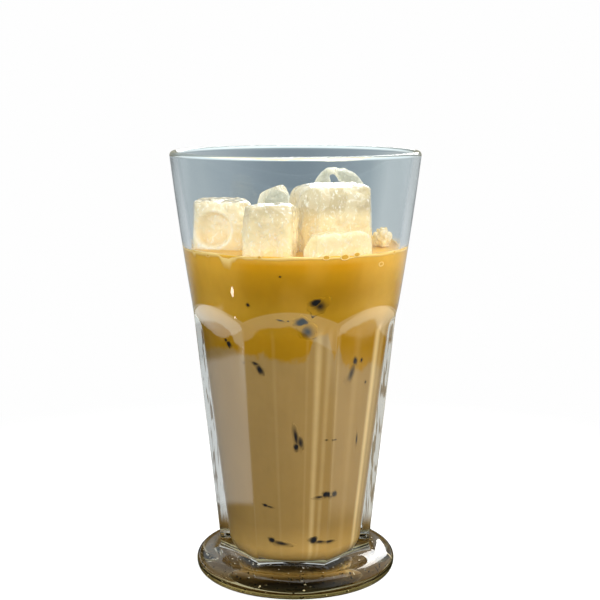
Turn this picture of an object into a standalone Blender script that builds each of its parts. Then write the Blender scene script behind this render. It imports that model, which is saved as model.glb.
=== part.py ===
"""Iced milk coffee in a tall footed glass.

A pressed glass with a round upper cone, seven flat panels with arched tops and a heavy
ring foot. It holds a milky lower layer, an amber coffee layer on top of it, and ice that
stands up out of the drink. Lengths are in millimetres in the constants and in metres in
the meshes. +Z is up, the glass stands on z = 0 and its axis is the Z axis.
"""
import math

import bmesh
import bpy
from mathutils import Matrix
from mathutils import Vector

MM = 0.001
GAP = 0.3                    # free space between neighbouring pieces

# Outside of the glass, measured on the axis and on the radius
HEIGHT = 146.7
RIM_RADIUS = 42.5
RIM_INNER_RADIUS = 40.3
CONE_FOOT = (35.5, 95.0)     # radius and height where the round cone ends
BODY_FOOT = (27.06, 15.0)    # radius at the panel corners, low on the body
FOOT_RADIUS = 34.8
FOOT_THICKNESS = 7.4
TURN_STEPS = 56

# Panels
PANEL_COUNT = 7
PANEL_TURN = math.radians(-3.0)      # the front panel looks slightly to the left
PANEL_RATIO = 0.905                  # panel distance from the axis over corner radius
PANEL_TOP = 92.6
PANEL_BOTTOM = 8.7
SHOULDER_RISE = 0.98                 # rise of the shoulder for each mm outwards
CUT_REACH = 52.0

# Inside of the glass: radius and height from the floor up to the rim
INNER_WALL = [
    (8.4, 6.7),
    (12.3, 7.4),
    (15.4, 9.6),
    (17.2, 13.2),
    (26.4, 89.0),
    (27.5, 93.0),
    (29.3, 97.0),
    (32.2, 102.5),
    (34.1, 107.0),
    (35.3, 112.0),
    (RIM_INNER_RADIUS, 145.2),
]
INNER_FLOOR = 6.6

# Drink
LEVEL = 114.2
LAYER_HEIGHT = 81.0

# Ice: centre, half sizes, turn about Z, size of the top against the bottom, rounding
ICE_BLOCKS = {
    "ice_left": ((-25.1, -1.5, 120.2), (9.5, 8.6, 10.1), 0.0, 1.10, 3.6),
    "ice_middle": ((-7.9, -22.0, 119.9), (8.3, 8.5, 11.0), -10.0, 0.97, 3.6),
    "ice_right": ((12.2, -6.8, 120.8), (13.0, 11.0, 15.0), 20.0, 0.97, 4.4),
    "ice_front": ((13.3, -26.1, 115.4), (11.4, 4.2, 6.8), 27.0, 0.95, 2.4),
    "ice_small": ((-7.4, 8.5, 123.4), (6.6, 5.8, 11.6), -12.0, 0.84, 3.0),
    "ice_crushed": ((29.9, -1.5, 116.9), (3.3, 6.2, 5.5), 0.0, 0.72, 1.8),
    "ice_ring": ((15.9, 13.9, 125.6), (10.8, 4.9, 14.7), -6.0, 0.90, 3.6),
}

# Round hollow in the front of the left ice: centre of its mouth, inward axis, radius, depth
HOLLOW_CENTRE = (-27.4, -11.3, 120.8)
HOLLOW_AXIS = (0.10, 0.99, 0.0)
HOLLOW_RADIUS = 6.1
HOLLOW_DEPTH = 4.6

# Round hole right through the ice at the back, near its top: centre, direction, radius
RING_HOLE_CENTRE = (14.0, 14.0, 134.4)
RING_HOLE_AXIS = (0.10, 0.99, 0.0)
RING_HOLE = 3.3

COLOURS = {
    "glass": (0.80, 0.86, 0.88),
    "coffee_milk": (0.42, 0.30, 0.14),
    "coffee_top": (0.58, 0.33, 0.03),
    "ice_frosted": (0.95, 0.84, 0.60),
    "ice_clear": (0.86, 0.88, 0.84),
}


def corner_radius(height):
    """Radius of the panel corners at a height on the body."""
    top_radius, top = CONE_FOOT
    low_radius, low = BODY_FOOT
    return low_radius + (height - low) * (top_radius - low_radius) / (top - low)


def panel_distance(height):
    """Distance of a flat panel from the axis at a height."""
    return PANEL_RATIO * corner_radius(height)


def inner_radius(height):
    """Radius of the inside wall at a height, read along the straight runs of the wall."""
    for (low_r, low_z), (high_r, high_z) in zip(INNER_WALL, INNER_WALL[1:]):
        if low_z <= height <= high_z:
            return low_r + (high_r - low_r) * (height - low_z) / (high_z - low_z)
    raise ValueError("height outside the inside wall")


def clear_scene():
    """Remove what the scene holds before the model is made."""
    for obj in list(bpy.data.objects):
        bpy.data.objects.remove(obj, do_unlink=True)
    for mesh in list(bpy.data.meshes):
        bpy.data.meshes.remove(mesh)


def make_collection(name):
    """Add a collection to the scene."""
    collection = bpy.data.collections.new(name)
    bpy.context.scene.collection.children.link(collection)
    return collection


def make_material(name, colour, roughness):
    """Principled material with a colour and a roughness."""
    material = bpy.data.materials.new(name)
    material.use_nodes = True
    shader = material.node_tree.nodes["Principled BSDF"]
    shader.inputs["Base Color"].default_value = (*colour, 1.0)
    shader.inputs["Roughness"].default_value = roughness
    shader.inputs["Metallic"].default_value = 0.0
    return material


def add_object(name, mesh, collection, material=None):
    """Link a new object with its material."""
    obj = bpy.data.objects.new(name, mesh)
    collection.objects.link(obj)
    if material is not None:
        mesh.materials.append(material)
    return obj


def turned(name, profile, steps, collection, material=None):
    """Turn a profile of (radius, height) points about the Z axis with a Screw modifier."""
    mesh = bpy.data.meshes.new(name)
    points = [(radius * MM, 0.0, height * MM) for radius, height in profile]
    edges = [(i, i + 1) for i in range(len(points) - 1)]
    mesh.from_pydata(points, edges, [])
    obj = add_object(name, mesh, collection, material)
    screw = obj.modifiers.new("turn", "SCREW")
    screw.axis = "Z"
    screw.angle = 2.0 * math.pi
    screw.steps = steps
    screw.render_steps = steps
    screw.use_merge_vertices = True
    screw.merge_threshold = 0.00001
    screw.use_smooth_shade = True
    return obj


def rounded_block(name, shape, grow, collection, material=None):
    """Box with a smaller top and rounded edges; grow adds to each half size."""
    centre, half, turn, top_scale, rounding = shape
    mesh = bpy.data.meshes.new(name)
    cage = bmesh.new()
    bmesh.ops.create_cube(cage, size=2.0)
    for vertex in cage.verts:
        side = top_scale if vertex.co.z > 0.0 else 1.0
        vertex.co.x *= (half[0] * side + grow) * MM
        vertex.co.y *= (half[1] * side + grow) * MM
        vertex.co.z *= (half[2] + grow) * MM
    cage.to_mesh(mesh)
    cage.free()
    obj = add_object(name, mesh, collection, material)
    obj.location = Vector(centre) * MM
    obj.rotation_euler = (0.0, 0.0, math.radians(turn))
    bevel = obj.modifiers.new("round", "BEVEL")
    bevel.width = rounding * MM
    bevel.segments = 3
    bevel.limit_method = "NONE"
    return obj


def along(obj, centre, axis):
    """Place a turned object with its -Z direction along an axis from a centre."""
    direction = Vector(axis).normalized()
    turn = (-direction).to_track_quat("Z", "Y").to_matrix().to_4x4()
    obj.matrix_world = Matrix.Translation(Vector(centre) * MM) @ turn


def panel_cutter(index, collection):
    """Wedge outside one flat panel, with a top face that slopes up and out."""
    near_top = panel_distance(PANEL_TOP)
    near_low = panel_distance(PANEL_BOTTOM)
    outline = [
        (near_low, PANEL_BOTTOM),
        (near_top, PANEL_TOP),
        (CUT_REACH, PANEL_TOP + SHOULDER_RISE * (CUT_REACH - near_top)),
        (CUT_REACH, PANEL_BOTTOM),
    ]
    turn = PANEL_TURN + index * 2.0 * math.pi / PANEL_COUNT
    mesh = bpy.data.meshes.new("panel_cutter")
    shape = bmesh.new()
    face = shape.faces.new([shape.verts.new((-30.0 * MM, -d * MM, z * MM)) for d, z in outline])
    extrusion = bmesh.ops.extrude_face_region(shape, geom=[face])
    moved = [item for item in extrusion["geom"] if isinstance(item, bmesh.types.BMVert)]
    bmesh.ops.translate(shape, vec=(60.0 * MM, 0.0, 0.0), verts=moved)
    bmesh.ops.recalc_face_normals(shape, faces=shape.faces)
    bmesh.ops.rotate(shape, cent=(0.0, 0.0, 0.0), matrix=Matrix.Rotation(turn, 3, "Z"),
                     verts=shape.verts)
    shape.to_mesh(mesh)
    shape.free()
    return add_object("panel_cutter_{}".format(index), mesh, collection)


def cut(target, cutter, name):
    """Subtract one object from another with a Boolean modifier."""
    cutter.hide_render = True
    cutter.display_type = "WIRE"
    boolean = target.modifiers.new(name, "BOOLEAN")
    boolean.operation = "DIFFERENCE"
    boolean.solver = "EXACT"
    boolean.object = cutter


def glass_profile():
    """Section of the glass: inside wall upwards, round the rim, outside wall down, underside."""
    inside = [(0.0, INNER_FLOOR)] + INNER_WALL
    rim = [
        (RIM_INNER_RADIUS + 0.3, HEIGHT - 0.6),
        (RIM_INNER_RADIUS + 1.05, HEIGHT),
        (RIM_RADIUS - 0.4, HEIGHT - 0.5),
        (RIM_RADIUS, HEIGHT - 1.4),
    ]
    body = [
        (41.7, 138.3),
        (38.4, 113.9),
        CONE_FOOT,
        BODY_FOOT,
        (26.9, 12.0),
        (27.2, 10.0),
        (28.2, 8.5),
    ]
    foot = [
        (30.4, FOOT_THICKNESS + 0.3),
        (32.6, FOOT_THICKNESS - 0.4),
        (34.2, FOOT_THICKNESS - 1.9),
        (FOOT_RADIUS, 3.8),
        (34.5, 2.0),
        (33.4, 0.6),
        (31.8, 0.0),
        (0.0, 0.0),
    ]
    return inside + rim + body + foot


def layer_profile(low, high):
    """Section of a layer of drink between two heights, clear of the glass by the gap."""
    wall = [(inner_radius(high) - GAP, high)]
    for radius, height in reversed(INNER_WALL):
        if low < height < high:
            wall.append((radius - GAP, height))
    wall.append((inner_radius(low) - GAP, low))
    return [(0.0, high)] + wall + [(0.0, low)]


def milk_profile():
    """Section of the lower layer, which follows the rounded floor of the glass."""
    high = LAYER_HEIGHT - GAP / 2.0
    (flat, low, bend, foot) = INNER_WALL[:4]
    wall = [(inner_radius(high) - GAP, high), (foot[0] - GAP, foot[1])]
    floor = [(bend[0] - GAP, bend[1] + GAP), (low[0] - GAP, low[1] + GAP), (flat[0], flat[1] + GAP)]
    return [(0.0, high)] + wall + floor + [(0.0, INNER_FLOOR + GAP)]


def plug_profile(radius, length):
    """Section of a plain round plug from its end face down."""
    return [(0.0, 0.0), (radius, 0.0), (radius, -length), (0.0, -length)]


def build():
    """Make the glass, the two layers of drink and the ice."""
    clear_scene()
    parts = make_collection("iced_milk_coffee")
    cutters = make_collection("cutters")
    glass_finish = make_material("glass", COLOURS["glass"], 0.03)
    milk_finish = make_material("coffee_milk", COLOURS["coffee_milk"], 0.35)
    top_finish = make_material("coffee_top", COLOURS["coffee_top"], 0.30)
    frosted = make_material("ice_frosted", COLOURS["ice_frosted"], 0.45)
    clear = make_material("ice_clear", COLOURS["ice_clear"], 0.08)

    glass = turned("glass", glass_profile(), TURN_STEPS, parts, glass_finish)
    for index in range(PANEL_COUNT):
        cut(glass, panel_cutter(index, cutters), "panel_{}".format(index))

    turned("coffee_milk", milk_profile(), TURN_STEPS, parts, milk_finish)
    top = turned("coffee_top", layer_profile(LAYER_HEIGHT + GAP / 2.0, LEVEL), TURN_STEPS,
                 parts, top_finish)

    for name, shape in ICE_BLOCKS.items():
        finish = clear if name in ("ice_small", "ice_ring") else frosted
        block = rounded_block(name, shape, 0.0, parts, finish)
        pocket = rounded_block("pocket_" + name, shape, GAP, cutters)
        cut(top, pocket, "pocket_" + name)
        if name == "ice_left":
            hollow = turned("hollow_left", plug_profile(HOLLOW_RADIUS, HOLLOW_DEPTH), 32, cutters)
            along(hollow, HOLLOW_CENTRE, HOLLOW_AXIS)
            cut(block, hollow, "hollow")
        if name == "ice_ring":
            reach = 2.0 * shape[1][1]
            start = Vector(RING_HOLE_CENTRE) - Vector(RING_HOLE_AXIS).normalized() * reach
            hole = turned("hole_ring", plug_profile(RING_HOLE, 2.0 * reach), 32, cutters)
            along(hole, start, RING_HOLE_AXIS)
            cut(block, hole, "hole")


build()
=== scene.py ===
"""Iced milk coffee in a tall footed glass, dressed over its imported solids.

Lengths in the classes are millimetres, heights are above the surface the glass stands on,
and azimuths are degrees round the glass's axis, 0 at the front (-Y) and growing to the
right (+X). Meshes are written in metres.
"""

import logging
import math
from dataclasses import dataclass
from enum import Enum
from functools import cached_property

import bpy
import numpy as np
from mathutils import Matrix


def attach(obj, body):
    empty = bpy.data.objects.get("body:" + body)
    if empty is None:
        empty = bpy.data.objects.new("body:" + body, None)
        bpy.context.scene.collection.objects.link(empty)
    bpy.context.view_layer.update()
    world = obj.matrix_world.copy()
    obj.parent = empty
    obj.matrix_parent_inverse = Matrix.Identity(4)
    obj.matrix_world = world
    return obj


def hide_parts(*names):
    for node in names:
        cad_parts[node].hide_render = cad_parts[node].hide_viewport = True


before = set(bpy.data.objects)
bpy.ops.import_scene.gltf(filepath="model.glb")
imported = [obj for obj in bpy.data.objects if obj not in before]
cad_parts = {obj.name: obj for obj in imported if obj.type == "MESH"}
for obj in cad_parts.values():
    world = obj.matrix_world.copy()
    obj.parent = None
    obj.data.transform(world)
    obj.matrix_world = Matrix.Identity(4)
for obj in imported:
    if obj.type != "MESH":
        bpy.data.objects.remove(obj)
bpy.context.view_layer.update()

LOG = logging.getLogger("iced_milk_coffee")
Material = bpy.types.Material
Node = bpy.types.Node
Socket = bpy.types.NodeSocket
Tree = bpy.types.NodeTree
Value = Socket | float
Colour = Socket | tuple
MM = 0.001
BLACK = (0.0, 0.0, 0.0, 1.0)
PANEL_COUNT = 7
PANEL_TURN = -3.0
NO_TRIANGLES = np.zeros((0, 3), dtype=int)


class Slot(Enum):
    """Names of material slots, which the ice lumps carry."""

    GLASS = "glass"
    MILK = "coffee_milk"
    TOP = "coffee_top"
    FROSTED = "ice_frosted"
    CLEAR = "ice_clear"


def linear(red: float, green: float, blue: float) -> tuple[float, float, float, float]:
    """Turn screen values from 0 to 255 into a linear colour.

    Args:
        red: Red on screen.
        green: Green on screen.
        blue: Blue on screen.

    Returns:
        Linear red, green, blue and an alpha of one.
    """
    values = np.array([red, green, blue]) / 255.0
    low = values / 12.92
    high = ((values + 0.055) / 1.055) ** 2.4
    mixed = np.where(values <= 0.04045, low, high)
    return (float(mixed[0]), float(mixed[1]), float(mixed[2]), 1.0)


def smooth_min(a: np.ndarray, b: np.ndarray, width: float) -> np.ndarray:
    """Lower of two values, rounded: half of the sum less the root of difference and width."""
    return 0.5 * (a + b - np.sqrt((a - b) ** 2 + width * width))


def smooth_max(a: np.ndarray, b: np.ndarray, width: float) -> np.ndarray:
    """Higher of two values, rounded the same way as smooth_min."""
    return 0.5 * (a + b + np.sqrt((a - b) ** 2 + width * width))


def smooth_step(low: float, high: float, value: np.ndarray) -> np.ndarray:
    """Rise from 0 at low to 1 at high along 3t^2 - 2t^3."""
    t = np.clip((value - low) / (high - low), 0.0, 1.0)
    return t * t * (3.0 - 2.0 * t)


def grid_faces(rows: int, cols: int, wrap_rows: bool = False, start: int = 0) -> np.ndarray:
    """Quads of a grid whose columns close into a ring.

    Args:
        rows: Number of rows of points.
        cols: Number of points in each ring.
        wrap_rows: Whether the last row meets the first.
        start: Index of the grid's first point.

    Returns:
        Array of four point indices a face.
    """
    last = rows if wrap_rows else rows - 1
    i = np.arange(last)[:, None]
    j = np.arange(cols)[None, :]
    below = (i + 1) % rows
    right = (j + 1) % cols
    corners = [i * cols + j, below * cols + j, below * cols + right, i * cols + right]
    return start + np.stack([np.broadcast_to(c, (last, cols)).ravel() for c in corners], axis=1)


def fan_faces(ring: np.ndarray, pole: int, reverse: bool) -> np.ndarray:
    """Triangles between a ring of points and a pole.

    Args:
        ring: Indices of the ring's points in order.
        pole: Index of the pole.
        reverse: Whether to turn each triangle over.

    Returns:
        Array of three point indices a face.
    """
    following = np.roll(ring, -1)
    centre = np.full_like(ring, pole)
    order = [following, ring, centre] if reverse else [ring, following, centre]
    return np.stack(order, axis=1)


@dataclass
class Surface:
    """Points and faces of one closed surface, in millimetres."""

    points: np.ndarray
    quads: np.ndarray
    triangles: np.ndarray

    def volume(self) -> float:
        """Work out the signed volume: a sixth of the sum of the triangles' corner products.

        Returns:
            Cubic millimetres, positive if the faces point out.
        """
        tris = np.concatenate([self.quads[:, [0, 1, 2]], self.quads[:, [0, 2, 3]], self.triangles])
        a, b, c = (self.points[tris[:, k]] for k in range(3))
        return float(np.einsum("ij,ij->i", a, np.cross(b, c)).sum() / 6.0)

    def outward(self) -> "Surface":
        """Turn the faces over if they point in.

        Returns:
            The surface with its faces pointing out.
        """
        if self.volume() < 0.0:
            return Surface(self.points, self.quads[:, ::-1], self.triangles[:, ::-1])
        return self


def round_axis(radius: np.ndarray, azimuth: np.ndarray, z: np.ndarray) -> np.ndarray:
    """Points (radius * sin(azimuth), -radius * cos(azimuth), z)."""
    return np.stack([radius * np.sin(azimuth), -radius * np.cos(azimuth), z], axis=-1)


def rings(values: np.ndarray, cols: int) -> np.ndarray:
    """Rows of one value each, as wide as the columns."""
    return np.tile(values[:, None], (1, cols))


def full_turn(count: int) -> np.ndarray:
    """Angles in radians, evenly round a circle."""
    return np.arange(count) * 2.0 * np.pi / count


def turned(points: np.ndarray, degrees: float) -> np.ndarray:
    """Points turned about the upright axis."""
    c, s = math.cos(math.radians(degrees)), math.sin(math.radians(degrees))
    return points @ np.array([[c, s, 0.0], [-s, c, 0.0], [0.0, 0.0, 1.0]])


def lathe_surface(radius: np.ndarray, height: np.ndarray, cols: int,
                  azimuth: np.ndarray | None = None) -> Surface:
    """Closed surface from rows of rings with a pole before the first and after the last.

    Args:
        radius: Rows by columns of radii.
        height: Rows by columns of heights.
        cols: Number of columns.
        azimuth: Azimuth of each column in radians, even if left out.

    Returns:
        The closed surface.
    """
    rows = radius.shape[0]
    if azimuth is None:
        azimuth = full_turn(cols)
    ring = round_axis(radius, azimuth, height).reshape(-1, 3)
    poles = np.array([[0.0, 0.0, height[0].mean()], [0.0, 0.0, height[-1].mean()]])
    points = np.concatenate([ring, poles])
    first = np.arange(cols)
    last = (rows - 1) * cols + np.arange(cols)
    fans = [fan_faces(first, rows * cols, True), fan_faces(last, rows * cols + 1, False)]
    return Surface(points, grid_faces(rows, cols), np.concatenate(fans))


def join_surfaces(parts: list[Surface]) -> Surface:
    """Put several surfaces into one.

    Args:
        parts: The surfaces.

    Returns:
        One surface that holds them all.
    """
    starts = np.cumsum([0] + [len(part.points) for part in parts[:-1]])
    quads = [part.quads + start for part, start in zip(parts, starts)]
    triangles = [part.triangles + start for part, start in zip(parts, starts)]
    return Surface(np.concatenate([part.points for part in parts]), np.concatenate(quads),
                   np.concatenate(triangles))


def write_object(name: str, surface: Surface, material: Material,
                 values: dict[str, np.ndarray] | None = None) -> bpy.types.Object:
    """Make a mesh object from a surface, smooth, with its material and point values.

    Args:
        name: Name of the object.
        surface: The closed surface in millimetres.
        material: Its material.
        values: Named numbers, one for each point.

    Returns:
        The new object, at the origin.
    """
    mesh = bpy.data.meshes.new(name)
    faces = surface.quads.tolist() + surface.triangles.tolist()
    mesh.from_pydata((surface.points * MM).tolist(), [], faces)
    for key, numbers in (values or {}).items():
        attribute = mesh.attributes.new(key, "FLOAT", "POINT")
        attribute.data.foreach_set("value", np.asarray(numbers, dtype=np.float32))
    mesh.polygons.foreach_set("use_smooth", np.ones(len(mesh.polygons), dtype=bool))
    mesh.materials.append(material)
    mesh.update()
    obj = bpy.data.objects.new(name, mesh)
    bpy.context.scene.collection.objects.link(obj)
    LOG.info("%s: %d faces", name, len(mesh.polygons))
    return obj


class Nodes:
    """Short ways to add and join shader nodes in one tree."""

    def __init__(self, tree: Tree) -> None:
        """Keep the tree."""
        self.tree = tree

    def fill(self, node: Node, inputs: dict) -> Node:
        """Link or set inputs of a node.

        Args:
            node: The node.
            inputs: Input names or numbers with a value or a socket for each.

        Returns:
            The node.
        """
        for key, value in inputs.items():
            if isinstance(value, Socket):
                self.tree.links.new(value, node.inputs[key])
            else:
                node.inputs[key].default_value = value
        return node

    def add(self, kind: str, inputs: dict | None = None, **settings: object) -> Node:
        """Add a node, set its attributes and fill its inputs.

        Args:
            kind: Blender's name of the node type.
            inputs: Input names or numbers with a value or a socket for each.
            **settings: Attributes of the node.

        Returns:
            The node.
        """
        node = self.tree.nodes.new(kind)
        for key, value in settings.items():
            setattr(node, key, value)
        return self.fill(node, inputs or {})

    def math(self, operation: str, *values: Value) -> Socket:
        """Result of a Math node on sockets or numbers."""
        return self.add("ShaderNodeMath", dict(enumerate(values)), operation=operation).outputs[0]

    def times(self, product: Value, *factors: Value) -> Value:
        """Multiply sockets or numbers.

        Args:
            product: The first of them.
            *factors: The others.

        Returns:
            Their product.
        """
        for factor in factors:
            product = self.math("MULTIPLY", product, factor)
        return product

    def gap(self, value: Value, other: float) -> Socket:
        """Distance of a value from a number."""
        return self.math("ABSOLUTE", self.math("SUBTRACT", value, other))

    def span(self, value: Value, low: float, high: float, start: float = 0.0,
             end: float = 1.0, smooth: bool = True) -> Socket:
        """Map a value from one range to another and hold it at the ends.

        Args:
            value: The value.
            low: Value that gives the start.
            high: Value that gives the end.
            start: Result at low.
            end: Result at high.
            smooth: Whether the change eases in and out.

        Returns:
            The mapped value.
        """
        kind = "SMOOTHSTEP" if smooth else "LINEAR"
        inputs = {"Value": value, "From Min": low, "From Max": high, "To Min": start, "To Max": end}
        return self.add("ShaderNodeMapRange", inputs, interpolation_type=kind).outputs["Result"]

    def ramp(self, value: Value, stops: list[tuple[float, tuple]]) -> Socket:
        """Add a colour ramp.

        Args:
            value: Place on the ramp, from 0 to 1.
            stops: Places with their linear colours.

        Returns:
            The colour.
        """
        node = self.add("ShaderNodeValToRGB", {"Fac": value})
        elements = node.color_ramp.elements
        while len(elements) < len(stops):
            elements.new(0.5)
        for element, (place, colour) in zip(elements, stops):
            element.position = place
            element.color = colour
        return node.outputs["Color"]

    def tones(self, value: Value, stops: tuple) -> Socket:
        """Colour ramp through stops of a place and a screen colour."""
        return self.ramp(value, [(place, linear(*colour)) for place, colour in stops])

    def mix(self, factor: Value, a: Colour, b: Colour, blend: str = "MIX") -> Socket:
        """Blend two linear colours."""
        inputs = {0: factor, 6: a, 7: b}
        return self.add("ShaderNodeMix", inputs, data_type="RGBA", blend_type=blend).outputs[2]

    def coats(self, base: Colour, *coats: tuple[Value, tuple]) -> Colour:
        """Lay screen colours over a base, one after another.

        Args:
            base: The lowest colour, linear.
            *coats: Factors with their screen colours.

        Returns:
            The colour that shows.
        """
        for factor, colour in coats:
            base = self.mix(factor, base, linear(*colour))
        return base

    def noise(self, vector: Socket, scale: float, detail: float = 3.0,
              rough: float = 0.5) -> Socket:
        """Noise value around one half; scale is per metre."""
        inputs = {"Vector": vector, "Scale": scale, "Detail": detail, "Roughness": rough}
        return self.add("ShaderNodeTexNoise", inputs).outputs["Fac"]

    def split(self, vector: Socket) -> tuple:
        """X, Y and Z of a vector."""
        return tuple(self.add("ShaderNodeSeparateXYZ", {"Vector": vector}).outputs)

    @cached_property
    def place(self) -> Socket:
        """Object coordinates in metres."""
        return self.add("ShaderNodeTexCoord").outputs["Object"]

    @cached_property
    def xyz(self) -> tuple:
        """X, Y and Z of the place."""
        return self.split(self.place)

    @cached_property
    def azimuth(self) -> Socket:
        """Azimuth of the place in degrees."""
        x, y, _ = self.xyz
        return self.times(self.math("ARCTAN2", x, self.times(y, -1.0)), 180.0 / math.pi)

    @cached_property
    def reach(self) -> Socket:
        """Distance of the place from the axis."""
        x, y, _ = self.xyz
        return self.math("SQRT", self.math("ADD", self.times(x, x), self.times(y, y)))

    def stretch(self, vector: Socket, scale: tuple) -> Socket:
        """Vector with each part multiplied by its own number."""
        inputs = {0: vector, 1: scale}
        return self.add("ShaderNodeVectorMath", inputs, operation="MULTIPLY").outputs[0]

    def carried(self, name: str) -> Socket:
        """Number that the piece carries at each point under a name."""
        return self.add("ShaderNodeAttribute", attribute_name=name).outputs["Fac"]

    def bump(self, height: Socket, strength: float, distance: float) -> Socket:
        """Normal from a height value."""
        inputs = {"Height": height, "Strength": strength, "Distance": distance}
        return self.add("ShaderNodeBump", inputs).outputs["Normal"]


def new_material(name: str) -> tuple[Material, Nodes, Node]:
    """Material with an empty Principled shader.

    Args:
        name: Name of the material.

    Returns:
        The material, its nodes and the shader.
    """
    material = bpy.data.materials.new(name)
    material.use_nodes = True
    tree = material.node_tree
    return material, Nodes(tree), tree.nodes["Principled BSDF"]


def set_glow(material: Material, colour: Socket) -> None:
    """Let a surface shine with a varying colour without being sampled as a lamp.

    Args:
        material: The material.
        colour: Socket with the colour of the light.
    """
    shader = material.node_tree.nodes["Principled BSDF"]
    Nodes(material.node_tree).fill(shader, {"Emission Color": colour, "Emission Strength": 1.0})
    material.cycles.emission_sampling = "NONE"


def clear_shadow(material: Material, light: float) -> None:
    """Let a share of the light pass straight through where the material casts its shadow.

    Args:
        material: The material.
        light: The share.
    """
    nodes = Nodes(material.node_tree)
    shader = nodes.tree.nodes["Principled BSDF"]
    clear = nodes.add("ShaderNodeBsdfTransparent", {"Color": (light, light, light, 1.0)})
    shadow = nodes.add("ShaderNodeLightPath").outputs["Is Shadow Ray"]
    mixed = nodes.add("ShaderNodeMixShader",
                      {0: shadow, 1: shader.outputs[0], 2: clear.outputs[0]})
    nodes.fill(nodes.tree.nodes["Material Output"], {"Surface": mixed.outputs[0]})


def new_group(name: str, outputs: dict[str, str]) -> tuple[Tree, Nodes]:
    """Empty shader node group with named outputs.

    Args:
        name: Name of the group.
        outputs: Output names with their socket types.

    Returns:
        The group and its nodes.
    """
    group = bpy.data.node_groups.new(name, "ShaderNodeTree")
    for key, kind in outputs.items():
        group.interface.new_socket(key, in_out="OUTPUT", socket_type=kind)
    return group, Nodes(group)


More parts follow.
